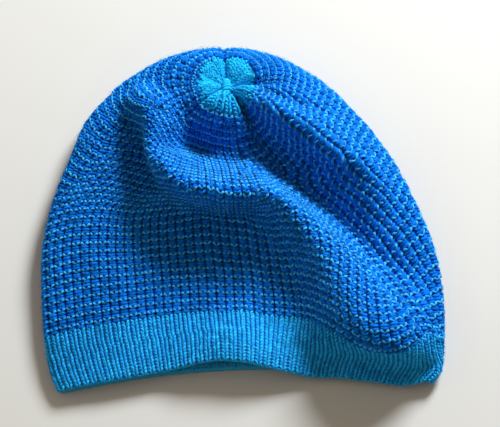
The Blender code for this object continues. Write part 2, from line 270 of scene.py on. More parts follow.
# its rows climb from the tear on by SLANT_RISE in the middle of the body, over a number of columns,
# and come down again before the back
SLANT_RISE = 0.024
SLANT_COLUMNS = 9.0
SLANT_LEAST = -0.35
SLANT_END_COLUMNS = 15.0
SLANT_SHARPNESS = 0.8
TEAR = ("share", "tear", "guide")
TEARS = (
    (0.0, 0.7391, 0.7391),
    (0.12, 0.7385, 0.7385),
    (0.16, 0.729, 0.729),
    (0.22, 0.707, 0.707),
    (0.28, 0.682, 0.682),
    (0.34, 0.66, 0.66),
    (0.4, 0.652, 0.652),
    (0.46, 0.644, 0.644),
    (0.52, 0.626, 0.626),
    (0.58, 0.602, 0.602),
    (0.62, 0.578, 0.59),
    (0.66, 0.535, 0.58),
    (0.7, 0.527, 0.57),
    (0.85, 0.53, 0.555),
    (1.0, 0.54, 0.54),
)


def table_columns(names, rows):
    """Each named column of a table as an array; what a row leaves out at its end is 0."""
    full = [(*row, *[0.0] * (len(names) - len(row))) for row in rows]
    return dict(zip(names, np.array(full, float).T))


def smooth(x, y, at):
    """A cubic curve through a table's points, read at each value of at."""
    h = np.diff(x)
    slope = np.diff(y) / h
    m = np.empty_like(y)
    m[1:-1] = (h[1:] * slope[:-1] + h[:-1] * slope[1:]) / (h[1:] + h[:-1])
    m[0], m[-1] = slope[0], slope[-1]
    i = np.clip(np.searchsorted(x, at, side="right") - 1, 0, len(x) - 2)
    t = (at - x[i]) / h[i]
    start = (2 * t**3 - 3 * t**2 + 1) * y[i] + (t**3 - 2 * t**2 + t) * h[i] * m[i]
    end = (3 * t**2 - 2 * t**3) * y[i + 1] + (t**3 - t**2) * h[i] * m[i + 1]
    return start + end


def ease(t):
    t = np.clip(t, 0.0, 1.0)
    return t * t * (3 - 2 * t)


def on_floor(z, floor, blend):
    """z, never under the floor, rounded where it comes down on it."""
    d = z - floor
    return floor + np.where(d > blend, d, np.where(d < -blend, 0.0, (d + blend) ** 2 / (4 * blend)))


def resting_rings(shares, turns):
    """The skin without its folds, a ring of points for each share."""
    table = table_columns(RING, RINGS)
    col = {name: smooth(table["share"], table[name], shares)[:, None] for name in RING}
    angle = (-np.pi / 2 - 2 * np.pi * turns)[None, :]
    power = 2.0 / col["squareness"]
    across = np.sign(np.cos(angle)) * np.abs(np.cos(angle)) ** power
    up = np.sign(np.sin(angle)) * np.abs(np.sin(angle)) ** power
    front = (1 + up) / 2
    x = (col["centre_x"] + col["half_width"] * across) * LYING_WIDTH
    y = col["back_y"] + (col["front_y"] - col["back_y"]) * front
    y = (y + col["arch"] * (1 - across**2) + col["skew"] * across) * LYING_LENGTH
    z = (col["back_z"] + (col["front_z"] - col["back_z"]) * front) * LYING_HEIGHT
    return np.stack([x, y, on_floor(z, WALL / 2, FLOOR_BLEND_HEIGHT)], -1)


def fold_line(stations):
    """Points of a smooth curve through a fold's stations, with the stations' other columns."""
    table = table_columns(STATION, stations)
    place = np.arange(len(stations), dtype=float)
    at = np.linspace(0, place[-1], FOLD_STEPS * (len(stations) - 1) + 1)
    line = {name: smooth(place, values / 1000, at) for name, values in table.items()}
    line["x"] = line["x"] * LYING_WIDTH
    line["y"] = line["y"] * LYING_LENGTH
    return line


def fold_shift(points, stations):
    """How far a fold moves each point of the skin."""
    line = fold_line(stations)
    path = np.stack([line["x"], line["y"]], -1)
    rest = np.stack([line[name] for name in STATION[2:]], -1)
    nearest = np.full(points.shape[:-1], np.inf)
    side = np.zeros(points.shape[:-1])
    here = np.zeros(points.shape[:-1] + rest.shape[-1:])
    for k in range(len(path) - 1):
        run = path[k + 1] - path[k]
        from_start = points[..., :2] - path[k]
        u = np.clip(from_start @ run / (run @ run), 0, 1)
        off = from_start - u[..., None] * run
        distance = np.hypot(off[..., 0], off[..., 1])
        closer = distance < nearest
        nearest = np.where(closer, distance, nearest)
        turn = run[0] * from_start[..., 1] - run[1] * from_start[..., 0]
        side = np.where(closer, turn, side)
        mixed = rest[k] + u[..., None] * (rest[k + 1] - rest[k])
        here = np.where(closer[..., None], mixed, here)
    near_width, far_width, rise, lean_x, lean_y = np.moveaxis(here, -1, 0)
    width = np.where(side < 0, near_width, far_width) * LYING_WIDTH
    bell = 0.5 + 0.5 * np.cos(np.pi * np.clip(nearest / (2 * width), 0, 1))
    sizes = np.array([LYING_WIDTH, LYING_LENGTH, LYING_HEIGHT])
    return bell[..., None] * np.stack([lean_x, lean_y, rise], -1) * sizes


def lengths_along(grid):
    """Length of fabric from the hem to each point of each column."""
    step = np.linalg.norm(np.diff(grid, axis=0), axis=-1)
    return np.concatenate([np.zeros((1, grid.shape[1])), np.cumsum(step, 0)])


def even_around(grid):
    """The same rings with their columns evenly spaced, as knitted columns are."""
    evened = np.empty_like(grid)
    share = np.linspace(0, 1, grid.shape[1])
    for i, ring in enumerate(grid):
        run = np.concatenate([[0.0], np.cumsum(np.linalg.norm(np.diff(ring, axis=0), axis=-1))])
        if run[-1] <= 0:
            evened[i] = ring
            continue
        for c in range(3):
            evened[i, :, c] = np.interp(share * run[-1], run, ring[:, c])
    return evened


def outward(grid):
    """Normals of the skin, away from the hollow."""
    closed = np.concatenate([grid[:, -2:-1], grid, grid[:, 1:2]], 1)
    normal = np.cross(closed[:, 2:] - closed[:, :-2], np.gradient(grid, axis=0))
    normal[-1] = normal[-2].mean(0)
    size = np.linalg.norm(normal, axis=-1, keepdims=True)
    return normal / np.maximum(size, 1e-12)


def round_gather(grid, turns, rows):
    """Length left to the crown's middle, and each crease with the length from it to every point."""
    along = lengths_along(grid)
    left = (along[-1] - along) / GATHER_LENGTH
    girth = np.linalg.norm(np.diff(grid, axis=1), axis=-1).sum(1)[:, None] / GATHER_LENGTH
    creases = [dict(zip(CREASE, row)) for row in rows]
    off = [np.abs((turns - crease["turn"] + 0.5) % 1 - 0.5)[None, :] * girth for crease in creases]
    return left, zip(creases, off)


def drawn_in(grid, turns):
    """The skin with its creases round the gather."""
    left, creases = round_gather(grid, turns, CREASES)
    amount = np.zeros(left.shape)
    for crease, off in creases:
        reach = ease(left / CREASE_START) * (1 - ease(left / crease["reach"]))
        amount += crease["depth"] * reach * np.exp(-(off / crease["width"]) ** 2)
    return grid - outward(grid) * amount[..., None] * GATHER_LENGTH


def pleated(grid, turns):
    """The skin with its sharp pleats round the gather."""
    left, pleats = round_gather(grid, turns, PLEATS)
    amount = np.zeros(left.shape)
    for pleat, off in pleats:
        reach = ease(left / PLEAT_START) * (1 - ease(left / pleat["reach"]))
        amount = np.maximum(amount, pleat["depth"] * reach * np.exp(-off / pleat["width"]))
    amount -= PUFF * ease(left / PUFF_START) * (1 - ease(left / PUFF_REACH))
    return grid - outward(grid) * amount[..., None] * GATHER_LENGTH


def between(grid, i, j):
    """A grid's values at rows i and columns j that needn't be whole."""
    i0 = np.minimum(i.astype(int), grid.shape[0] - 2)
    j0 = np.minimum(j.astype(int), grid.shape[1] - 2)
    s, t = (i - i0)[..., None], (j - j0)[..., None]
    near = grid[i0, j0] * (1 - t) + grid[i0, j0 + 1] * t
    far = grid[i0 + 1, j0] * (1 - t) + grid[i0 + 1, j0 + 1] * t
    return near * (1 - s) + far * s


def hat_skin():
    """Points, normals, turns past the tear and turns, for shares from the hem and turns from the back."""
    shares = np.linspace(0, 1, FINE_ROWS)
    turns = np.linspace(0, 1, FINE_AROUND + 1)
    grid = resting_rings(shares, turns)
    lifted = ease((grid[..., 2:] / LYING_HEIGHT - MOUTH_STIFFNESS / 2) / MOUTH_STIFFNESS)
    folds = (*FOLDS.values(), *CRINKLES.values())
    grid = grid + lifted * sum(fold_shift(grid, stations) for stations in folds)
    half = FINE_AROUND // 2
    sides = even_around(grid[:, : half + 1]), even_around(grid[:, half:])
    grid = np.concatenate([sides[0], sides[1][:, 1:]], 1)
    grid = pleated(drawn_in(grid, turns), turns)
    normal = outward(grid)
    along = lengths_along(grid)
    at_pole = 1 - ease((along[-1] - along)[..., None] / (KNOT_SPREAD * GATHER_LENGTH))
    normal = normal + at_pole * (normal[-1, 0] - normal)
    table = table_columns(TEAR, TEARS)
    past = turns[None, :] - smooth(table["share"], table["tear"], shares)[:, None]
    turn = np.broadcast_to(turns[None, :, None], past.shape + (1,))
    return np.concatenate([grid - np.array(SKIN_ORIGIN), normal, past[..., None], turn], -1)


def pulled_round(skin):
    """The same skin with the columns from LEAST_COLUMN on beside the diagonal crest."""
    shares = np.linspace(0, 1, FINE_ROWS)
    table = table_columns(TEAR, TEARS)
    guide = smooth(table["share"], table["guide"], shares)[:, None]
    count = (KNIT_COLUMNS - LEAST_COLUMN) * FINE_PER_COLUMN
    column = LEAST_COLUMN + np.arange(count + 1)[None, :] / FINE_PER_COLUMN
    turn = guide + (column - TEAR_COLUMN) / (KNIT_COLUMNS - TEAR_COLUMN) * (1 - guide)
    row = np.broadcast_to(np.arange(FINE_ROWS, dtype=float)[:, None], turn.shape)
    return between(skin, row, np.clip(turn, 0, 1) * FINE_AROUND)


# where the skin's values hold the turns past the tear and the turn, after point and normal
PAST_TEAR = 6
TURN = 7


class Skin:
    """The knit's mid-surface, read by knit column and by length of fabric from the hem."""

    def __init__(self, values, first, rows, slant=0.0):
        self.first = first
        self.rows = rows
        self.slant = slant
        along = lengths_along(values[..., :3])
        self.total = along[-1]
        self.pole = values[-1, 0, :3]
        self.pole_normal = values[-1, 0, 3:6] / np.linalg.norm(values[-1, 0, 3:6])
        lengths = np.arange(0, self.total.max() + FINE_STEP, FINE_STEP)
        self.values = np.empty((len(lengths), values.shape[1], values.shape[2]))
        for j in range(values.shape[1]):
            for c in range(values.shape[2]):
                self.values[:, j, c] = np.interp(lengths, along[:, j], values[:, j, c])

    def place(self, column):
        """A knit column's place among the skin's own columns."""
        if self.first:
            return np.clip((column - self.first) * FINE_PER_COLUMN, 0, len(self.total) - 1)
        return np.mod(column, KNIT_COLUMNS) * FINE_PER_COLUMN

    def at(self, column, length):
        """All that the skin holds, at columns and lengths, which broadcast."""
        column, length = np.broadcast_arrays(column, length)
        i = np.clip(length / FINE_STEP, 0, len(self.values) - 1)
        return between(self.values, i, self.place(column))

    def read(self, column, length):
        """Points and unit normals at columns and lengths."""
        found = self.at(column, length)
        normal = found[..., 3:6]
        return found[..., :3], normal / np.linalg.norm(normal, axis=-1, keepdims=True)

    def full_length(self, column):
        """Length of fabric from the hem to the crown along each column."""
        return np.interp(self.place(column), np.arange(len(self.total)), self.total)

    def gather_edge(self, column):
        """Length of fabric from the hem to the crown's yarn, which reaches a little past its solid."""
        far = np.cos(2 * np.pi * self.at(column, 0.0)[..., TURN])
        past = CROWN_MARGIN + np.where(far > 0, FAR_LOBE, NEAR_LOBE) * far**2
        return self.full_length(column) - GATHER_LENGTH - past

    def row(self, column, row):
        """Length of fabric from the hem to a row of the body; all columns reach the gather together."""
        share = row / self.rows
        own = self.full_length(column) - GATHER_LENGTH - BAND_HEIGHT
        inside = np.clip(share, 0, 1)
        length = BAND_HEIGHT + BODY_LENGTH * share + (own - BODY_LENGTH) * inside**ROW_EVENING
        past = column - TEAR_COLUMN
        rise = np.clip(past / SLANT_COLUMNS, SLANT_LEAST, 1.0)
        rise = np.where(past > SLANT_COLUMNS, ease((KNIT_COLUMNS - column) / SLANT_END_COLUMNS), rise)
        return length + self.slant * rise * np.sin(np.pi * inside) ** SLANT_SHARPNESS

    def width(self, column, row, columns):
        """How wide a number of columns is along a row."""
        places = (column + k * columns / 2 for k in (-1, 0, 1))
        a, b, c = (self.read(place, self.row(place, row))[0] for place in places)
        return np.linalg.norm(b - a, axis=-1) + np.linalg.norm(c - b, axis=-1)


def hem(column):
    """Length of fabric to the hem, which is where it is measured from."""
    return np.zeros(len(column))


def band_top(column):
    """Length of fabric from the hem to the top of the band."""
    return np.full(len(column), BAND_HEIGHT)


def parts_of(skin, pole_gap):
    """The hat's parts: name, the lengths where each begins and ends, node and slot."""
    edge, pole = skin.gather_edge, lambda column: skin.full_length(column) - pole_gap
    return (
        ("band", hem, band_top, "ribbed_band", "light_wool"),
        ("body", band_top, edge, "knitted_body", "blue_wool"),
        ("crown", edge, pole, "crown_gather", "turquoise_wool"),
    )


# places along the yarn in the twist's pattern: for a metre of yarn, and for a column of the ground
TWIST_PER_METRE = 100
TWIST_PER_COLUMN = 0.55


def mesh_piece(name, vertices, quads, ends, uv, material, replaces, slot):
    """One mesh from arrays: quads, then the many-sided faces of ends, all shaded smooth."""
    vertices = vertices.reshape(-1, 3)
    vertices[:, 2] = np.maximum(vertices[:, 2], 0.0)
    mesh = bpy.data.meshes.new(name)
    mesh.vertices.add(len(vertices))
    mesh.vertices.foreach_set("co", vertices.astype(np.float32).ravel())
    corners = np.concatenate([quads.ravel(), ends.ravel()])
    sizes = np.concatenate([np.full(len(quads), 4), np.full(len(ends), ends.shape[1])])
    mesh.loops.add(len(corners))
    mesh.loops.foreach_set("vertex_index", corners.astype(np.int32))
    mesh.polygons.add(len(sizes))
    starts = np.concatenate([[0], np.cumsum(sizes)[:-1]])
    mesh.polygons.foreach_set("loop_start", starts.astype(np.int32))
    mesh.update(calc_edges=True)
    layer = mesh.uv_layers.new(name="yarn")
    layer.data.foreach_set("uv", uv.reshape(-1, 2)[corners].astype(np.float32).ravel())
    mesh.shade_smooth()
    mesh.materials.append(material)
    piece = bpy.data.objects.new(name, mesh)
    bpy.context.scene.collection.objects.link(piece)
    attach(piece, "root")
    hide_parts(*replaces)


def yarn(centre, normal, radius, sides):
    """Tubes along rows of points: vertices, side faces, end faces, and places along and round them."""
    count, steps = radius.shape
    tangent = np.gradient(centre, axis=1)
    tangent /= np.linalg.norm(tangent, axis=-1, keepdims=True) + 1e-12
    side = np.cross(tangent, normal)
    side /= np.linalg.norm(side, axis=-1, keepdims=True) + 1e-12
    up = np.cross(side, tangent)
    angle = 2 * np.pi * (np.arange(sides) + 0.5) / sides
    ring = np.cos(angle)[:, None] * side[:, :, None] + np.sin(angle)[:, None] * up[:, :, None]
    vertices = centre[:, :, None] + ring * radius[..., None, None]
    number = np.arange(count * steps * sides).reshape(count, steps, sides)
    following = np.roll(number, -1, 2)
    quads = np.stack([number[:, :-1], following[:, :-1], following[:, 1:], number[:, 1:]], -1)
    ends = np.concatenate([number[:, 0, ::-1], number[:, -1]])
    run = np.linalg.norm(np.diff(centre, axis=1), axis=-1)
    run = np.concatenate([np.zeros((count, 1)), np.cumsum(run, 1)], 1) * TWIST_PER_METRE
    uv = np.empty((count, steps, sides, 2))
    uv[..., 0] = run[..., None]
    uv[..., 1] = np.arange(sides) / sides
    return vertices, quads.reshape(-1, 4), ends, uv


def joined(parts):
    """Several yarns as one set of arrays."""
    vertices, quads, ends, uv = [], [], [], []
    start = 0
    for v, q, e, u in parts:
        vertices.append(v.reshape(-1, 3))
        quads.append(q + start)
        ends.append(e + start)
        uv.append(u.reshape(-1, 2))
        start += vertices[-1].shape[0]
    return tuple(np.concatenate(rows) for rows in (vertices, quads, ends, uv))


# a stitch's yarn, point by point: across is a share of half its column, along of its rise or of a
# row; lift is over the skin and thickness a share of the yarn's
STITCH = ("across", "along", "lift", "thickness")
# one open stitch of the body, from its dip to its right end; its left half mirrors it
LIGHT_VEE = (
    (0.0, 0.08, 0.0001, 0.74),
    (0.2, 0.18, 0.0005, 0.82),
    (0.46, 0.44, 0.0013, 1.06),
    (0.72, 0.76, 0.0013, 1.28),
    (0.9, 1.0, -0.0001, 1.0),
    (0.99, 1.16, -0.0017, 0.6),
)
BLUE_VEE = (
    (0.0, 0.08, 0.0013, 1.08),
    (0.46, 0.34, 0.0011, 1.08),
    (0.84, 0.76, -0.0001, 0.94),
    (0.98, 0.92, -0.0013, 0.66),
)
# one leg of a plain stitch, from its foot up to where it tucks under the next
LEGS = (
    (0.2, -0.3, -0.0009, 0.62),
    (0.26, 0.05, 0.0005, 0.96),
    (0.4, 0.45, 0.0011, 1.08),
    (0.56, 0.85, 0.0009, 1.0),
    (0.68, 1.2, -0.0001, 0.78),
    (0.72, 1.4, -0.0009, 0.55),
)
# how much of its columns an open stitch fills, how wide it is where its yarn is full, and how far and
# how fast the yarn grows with it
VEE_FILL = 0.83
FULL_WIDTH = 0.0060
YARN_RANGE = (0.55, 1.15)
YARN_GROWTH = 0.6
# how far stitches stray: in slope, along their row as a share of their columns, across it, in lift
# and in thickness
SLOPE_STRAY = 0.10
COLUMN_STRAY = 0.02
ROW_STRAY = 0.00014
VEE_LIFT_STRAY = 0.00010
LEG_LIFT_STRAY = 0.00006
THICKNESS_STRAY = 0.05
# how far the body's last row may reach over the crown's edge, and how far columns taken together may
# reach over the tear, as a share of their width
LAST_ROW_OVERLAP = 0.001
TEAR_OVERLAP = 0.45
# a hair: tries for each, the widest and the narrowest column and the steepest face it grows on, how
# far it bends and reaches, how high it starts and rises, how thick it may be, and how it thins
HAIR_TRIES = 8
HAIR_COLUMN = 0.0075
HAIR_LEAST_COLUMN = 0.002
HAIR_FACING = -0.45
HAIR_BEND = 0.5
HAIR_REACH = (0.0012, 0.0046)
HAIR_START = 0.0012
HAIR_RISE = (0.0004, 0.0024)
HAIR_THICKNESS = (0.7, 1.2)
HAIR_TAPER = (1.0, 0.9, 0.6)
# the ground's columns, and where its outer and inner faces lie under the skin
GROUND_AROUND = 3 * KNIT_COLUMNS // 2
GROUND_FACES = (-0.0002, -0.0014)


def both_halves(vee):
    """A whole open stitch, from its left end to its right."""
    return (*((-across, *rest) for across, *rest in vee[:0:-1]), *vee)


def column_plan(skin, rows, widest, past):
    """Stitches of the body: centre column, columns taken together and row.

    Columns are taken four or two together where they stay narrow from there to the crown, and
    stitches are kept on one side of the tear.
    """
    plan = []
    free = np.ones((len(rows), 1), bool)
    for size in (4, 2, 1):
        centres = np.arange(skin.first // size, KNIT_COLUMNS // size) * size + size / 2
        wide = skin.width(centres[None, :], rows[:, None], size) >= widest
        narrow_on = np.cumsum(wide[::-1], 0)[::-1] == 0
        free = np.repeat(free, len(centres) // free.shape[1], 1)
        taken = free & (narrow_on | (size == 1))
        free = free & ~taken
        row, column = np.nonzero(taken)
        plan.append(np.stack([centres[column], np.full(len(row), size), rows[row]], -1))
    plan = np.concatenate(plan)
    plan = plan[skin.row(plan[:, 0], plan[:, 2]) < skin.gather_edge(plan[:, 0]) + LAST_ROW_OVERLAP]
    beyond = skin.at(plan[:, 0], skin.row(plan[:, 0], plan[:, 2]))[..., PAST_TEAR]
    lap = TEAR_OVERLAP * (plan[:, 1] - 1) / KNIT_COLUMNS
    return plan[beyond > -lap] if past else plan[beyond < lap]


def vee_yarns(skin, plan, vees, thickness, rise, lift, rng, sides):
    """Open stitches across their columns, one for each line of the plan."""
    shape = table_columns(STITCH, vees)
    each = (len(plan), 1)
    column, size, row = plan[:, 0:1], plan[:, 1:2], plan[:, 2:3]
    wide = skin.width(column, row, size)
    lean = 1 + SLOPE_STRAY * rng.standard_normal(each) * np.sign(shape["across"])
    column = column + size * COLUMN_STRAY * rng.standard_normal(each)
    shaken = ROW_STRAY * rng.standard_normal(each)
    at_column = column + size * VEE_FILL * 0.5 * shape["across"]
    at_length = skin.row(at_column, row) + shaken + rise * wide * 0.5 * shape["along"] * lean
    point, normal = skin.read(at_column, at_length)
    small = np.clip(wide / FULL_WIDTH, *YARN_RANGE) ** YARN_GROWTH
    height = (shape["lift"] + lift) * small + VEE_LIFT_STRAY * rng.standard_normal(each)
    stray = 1 + THICKNESS_STRAY * rng.standard_normal(each)
    radius = thickness / 2 * shape["thickness"] * small * stray
    return yarn(point + normal * height[..., None], normal, radius, sides)


def leg_yarns(skin, columns, size, lengths, pitch, thickness, lift, rng, sides, inside=False):
    """Both legs of plain stitches, each at a column and a length of fabric from the hem."""
    shape = table_columns(STITCH, LEGS)
    each = (len(columns), 1)
    parts = []
    for hand in (-0.5, 0.5):
        shake = COLUMN_STRAY * rng.standard_normal(each)
        at_column = columns[:, None] + size * (hand * shape["across"] + shake)
        at_length = lengths[:, None] + pitch * shape["along"]
        point, normal = skin.read(at_column, np.maximum(at_length, 0.0))
        height = shape["lift"] + lift + LEG_LIFT_STRAY * rng.standard_normal(each)
        if inside:
            height = -height
        radius = thickness / 2 * shape["thickness"] * (1 + THICKNESS_STRAY * rng.standard_normal(each))
        parts.append(yarn(point + normal * height[..., None], normal, radius, sides))
    return parts


def fibres(skin, low, high, count, thickness, rng):
    """Fine hairs that stand off the yarn of the upper face, spread evenly over it, each a bent tube."""
    tries = HAIR_TRIES * count
    column = rng.uniform(0, KNIT_COLUMNS, tries)
    share = rng.random(tries)
    length = low(column) * (1 - share) + high(column) * share
    left, right = (skin.read(column + k, length)[0] for k in (-0.5, 0.5))
    wide = np.linalg.norm(right - left, axis=-1)
    upper = skin.read(column, length)[1][:, 2] > HAIR_FACING
    on = np.nonzero(upper & (rng.random(tries) < wide / HAIR_COLUMN))[0][:count]
    column, length, wide = column[on, None], length[on, None], wide[on, None]
    step = np.linspace(0, 1, len(HAIR_TAPER))
    each = (len(on), 1)
    heading = rng.uniform(0, 2 * np.pi, each) + rng.normal(0, HAIR_BEND, each) * step
    reach = rng.uniform(*HAIR_REACH, each) * step
    at_column = column + reach * np.cos(heading) / np.maximum(wide, HAIR_LEAST_COLUMN)
    point, normal = skin.read(at_column, np.maximum(length + reach * np.sin(heading), 0.0))
    height = HAIR_START + rng.uniform(*HAIR_RISE, each) * np.sqrt(step)
    radius = thickness / 2 * rng.uniform(*HAIR_THICKNESS, each) * np.array(HAIR_TAPER)
    return yarn(point + normal * height[..., None], normal, radius, 3)


def strip(low, high):
    """Faces between two rings of vertex numbers."""
    return np.stack([low, np.roll(low, -1), np.roll(high, -1), high], -1)


def ground(skin, name, start, end, node, slot, rows, material):
    """The close fabric behind the stitches, a closed wall between two lengths of every column."""
    column = np.arange(GROUND_AROUND) * KNIT_COLUMNS / GROUND_AROUND
    share = np.linspace(0, 1, rows + 1)[:, None]
    length = start(column)[None, :] * (1 - share) + end(column)[None, :] * share
    point, normal = skin.read(column[None, :], length)
    walls = np.stack([point + normal * lift for lift in GROUND_FACES])
    outer, inner = np.arange(walls[..., 0].size).reshape(2, rows + 1, GROUND_AROUND)
    faces = [strip(outer[i], outer[i + 1]) for i in range(rows)]
    faces += [strip(inner[i + 1], inner[i]) for i in range(rows)]
    faces += [strip(inner[0], outer[0]), strip(outer[-1], inner[-1])]
    uv = np.empty(walls.shape[:-1] + (2,))
    uv[..., 0] = column * TWIST_PER_COLUMN
    uv[..., 1] = length * TWIST_PER_METRE
    no_ends = np.empty((0, 3), int)
    mesh_piece(f"{name}_ground", walls, np.concatenate(faces), no_ends, uv, material, [node], slot)


def new_material(name, **inputs):
    """A material, its node tree and its shader, with the values of some of the shader's inputs."""
    material = bpy.data.materials.new(name)
    material.use_nodes = True
    tree = material.node_tree
    shader = tree.nodes["Principled BSDF"]
    for socket, value in inputs.items():
        shader.inputs[socket.replace("_", " ")].default_value = value
    return material, tree, shader


def fitted(tree, kind, inputs, **settings):
    """A new node: each input takes a value, or the output of another node that it is joined to."""
    node = tree.nodes.new(kind)
    for name, value in settings.items():
        setattr(node, name, value)
    for socket, value in inputs.items():
        if isinstance(value, bpy.types.NodeSocket):
            tree.links.new(value, node.inputs[socket])
        else:
            node.inputs[socket].default_value = value
    return node


def noise(tree, place, scale, detail):
    """Noise over the object's own space."""
    inputs = {"Vector": place.outputs["Object"], "Scale": scale, "Detail": detail}
    return fitted(tree, "ShaderNodeTexNoise", inputs).outputs["Fac"]


def ramp(tree, value, low, high):
    """A colour ramp between two places, each with its colour."""
    node = fitted(tree, "ShaderNodeValToRGB", {"Fac": value})
    for element, (place, colour) in zip(node.color_ramp.elements, (low, high)):
        element.position = place
        element.color = (*colour, 1.0)
    return node


# the paler and deeper tones of a wool, as shares of its colour, and the least that the paler adds
PALER = 1.5
PALER_ADDS = 0.004
DEEPER = 0.55


def wool(name, colour):
    """Fuzzy woollen yarn: its own tone for each stitch, mottled fibres, a ply twist and fine hairs."""
    pale = [min(1.0, c * PALER + PALER_ADDS) for c in colour]
    deep = [c * DEEPER for c in colour]
    material, tree, shader = new_material(
        name, Roughness=0.92, Sheen_Weight=0.5, Sheen_Roughness=0.42, Sheen_Tint=(*pale, 1.0),
        Specular_IOR_Level=0.04,
    )
    place = tree.nodes.new("ShaderNodeTexCoord")
    island = tree.nodes.new("ShaderNodeNewGeometry").outputs["Random Per Island"]
    mottle = noise(tree, place, 620.0, 3.0)
    broad = noise(tree, place, 34.0, 2.0)
    tone = fitted(tree, "ShaderNodeMath", {0: broad, 1: 0.28}, operation="MULTIPLY")
    for part, share in ((mottle, 0.42), (island, 0.30)):
        tone = fitted(
            tree, "ShaderNodeMath", {0: part, 1: share, 2: tone.outputs[0]}, operation="MULTIPLY_ADD",
        )
    tones = ramp(tree, tone.outputs[0], (0.22, deep), (0.80, pale))
    tones.color_ramp.elements.new(0.50).color = (*colour, 1.0)
    tree.links.new(tones.outputs["Color"], shader.inputs["Base Color"])
    ply = {"Scale": 1.9, "Distortion": 1.6, "Detail": 2.0, "Detail Scale": 3.0}
    twist = fitted(
        tree, "ShaderNodeTexWave", {"Vector": place.outputs["UV"], **ply},
        wave_type="BANDS", bands_direction="DIAGONAL",
    )
    hairs = noise(tree, place, 2600.0, 4.0)
    heights = fitted(
        tree, "ShaderNodeMath", {0: twist.outputs["Fac"], 1: 0.6, 2: hairs}, operation="MULTIPLY_ADD",
    )
    relief = fitted(
        tree, "ShaderNodeBump", {"Height": heights.outputs[0], "Strength": 0.7, "Distance": 0.00035},
    )
    tree.links.new(relief.outputs["Normal"], shader.inputs["Normal"])
    return material


def plain(name, colour, roughness):
    """A matt painted surface with a faint unevenness."""
    material, tree, shader = new_material(name, Roughness=roughness)
    uneven = noise(tree, tree.nodes.new("ShaderNodeTexCoord"), 6.0, 2.0)
    tones = ramp(tree, uneven, (0.0, [c * 0.97 for c in colour]), (1.0, colour))
    tree.links.new(tones.outputs["Color"], shader.inputs["Base Color"])
    return material


class BeanieKnit(bpy.types.PropertyGroup):
    """Sizes of the knit."""

    light_rows: IntProperty(
        name="Light rows", description="Rows of light yarn from the band to the gather", default=36, min=2,
    )
    light_thickness: FloatProperty(
        name="Light yarn thickness", description="Thickness of the body's light yarn",
        default=0.0015, min=0.0005, unit="LENGTH",
    )
    blue_thickness: FloatProperty(
        name="Blue yarn thickness", description="Thickness of the body's blue yarn",
        default=0.0023, min=0.0005, unit="LENGTH",
    )
    band_row_pitch: FloatProperty(
        name="Band row pitch", description="Length of fabric from one row of the band to the next",
        default=0.0022, min=0.001, unit="LENGTH",
    )
    band_yarn_thickness: FloatProperty(
        name="Band yarn thickness", description="Thickness of the band's yarn",
        default=0.0017, min=0.0005, unit="LENGTH",
    )
    crown_row_pitch: FloatProperty(
        name="Crown row pitch", description="Length of fabric from one row of the gather to the next",
        default=0.0022, min=0.001, unit="LENGTH",
    )
    stitch_rise: FloatProperty(
        name="Stitch rise",
        description="How far a stitch's ends rise over its dip, as a share of half its width",
        default=0.58, min=0.0, max=2.0, subtype="FACTOR",
    )
    widest_join: FloatProperty(
        name="Widest join", description="Columns join where two of them are narrower than this",
        default=0.0076, min=0.002, unit="LENGTH",
    )
    hairs: IntProperty(name="Hairs", description="Fine hairs over the upper face", default=12000, min=100)
    hair_thickness: FloatProperty(
        name="Hair thickness", description="Thickness of a hair of the wool",
        default=0.00014, min=0.00002, unit="LENGTH",
    )
    seed: IntProperty(name="Seed", description="Seed of the stitches' unevenness", default=11)


# what all colours of the hat and the floor have alike
TINT = {"subtype": "COLOR", "size": 3, "min": 0.0, "max": 1.0}


class BeanieColours(bpy.types.PropertyGroup):
    """Colours of the wools, the floor and the light."""

    light_yarn: FloatVectorProperty(
        name="Light yarn", description="The body's light rows", default=(0.038, 0.380, 0.880), **TINT,
    )
    blue_yarn: FloatVectorProperty(
        name="Blue yarn", description="The body's blue rows", default=(0.001, 0.142, 0.630), **TINT,
    )
    band_yarn: FloatVectorProperty(
        name="Band yarn", description="The ribbed band", default=(0.018, 0.405, 0.940), **TINT,
    )
    crown_yarn: FloatVectorProperty(
        name="Crown yarn", description="The gathered crown and its knot",
        default=(0.012, 0.450, 0.920), **TINT,
    )
    floor: FloatVectorProperty(
        name="Floor", description="The floor's colour", default=(0.60, 0.585, 0.56), **TINT,
    )
    key_strength: FloatProperty(
        name="Key light", description="Power of the large light at the upper right",
        default=44.0, min=0.0, unit="POWER",
    )
    camera_distance: FloatProperty(
        name="Camera distance", description="From the hat's middle to the camera",
        default=4.0, min=0.5, unit="LENGTH",
    )


# the body's rows repeat: one light row, which is the middle one of three, and two blue ones
STRIPE = 3
SKIN = {}


def skins_of(knit):
    """The knit's skin as it rises from the band, and as it was pulled round, made once for its rows."""
    rows = STRIPE * knit.light_rows
    if rows not in SKIN:
        values = hat_skin()
        SKIN[rows] = Skin(values, 0, rows), Skin(pulled_round(values), LEAST_COLUMN, rows, SLANT_RISE)
    return SKIN[rows]


class MakeGround(bpy.types.Operator):
    """Make the close fabric behind the stitches of the band, the body and the crown, its wool darkened as
    painted shade
    """

    bl_idname = "beanie.make_ground"
    bl_label = "Ground fabric"

    POLE_GAP = 0.0006

    def execute(self, context):
        colours = context.scene.beanie_colours
        skin, _ = skins_of(context.scene.beanie_knit)
        # each part's ground is its wool darkened by the last share: real fabric behind the stitches, with
        # painted shade in the gaps between them
        wools = ((10, colours.band_yarn, 0.90), (66, colours.blue_yarn, 0.50), (8, colours.crown_yarn, 0.60))
        for part, (rows, colour, depth) in zip(parts_of(skin, self.POLE_GAP), wools):
            material = wool(f"{part[0]}_wool_ground_painted_shade", [c * depth for c in colour])
            ground(skin, *part, rows, material)
        return {"FINISHED"}


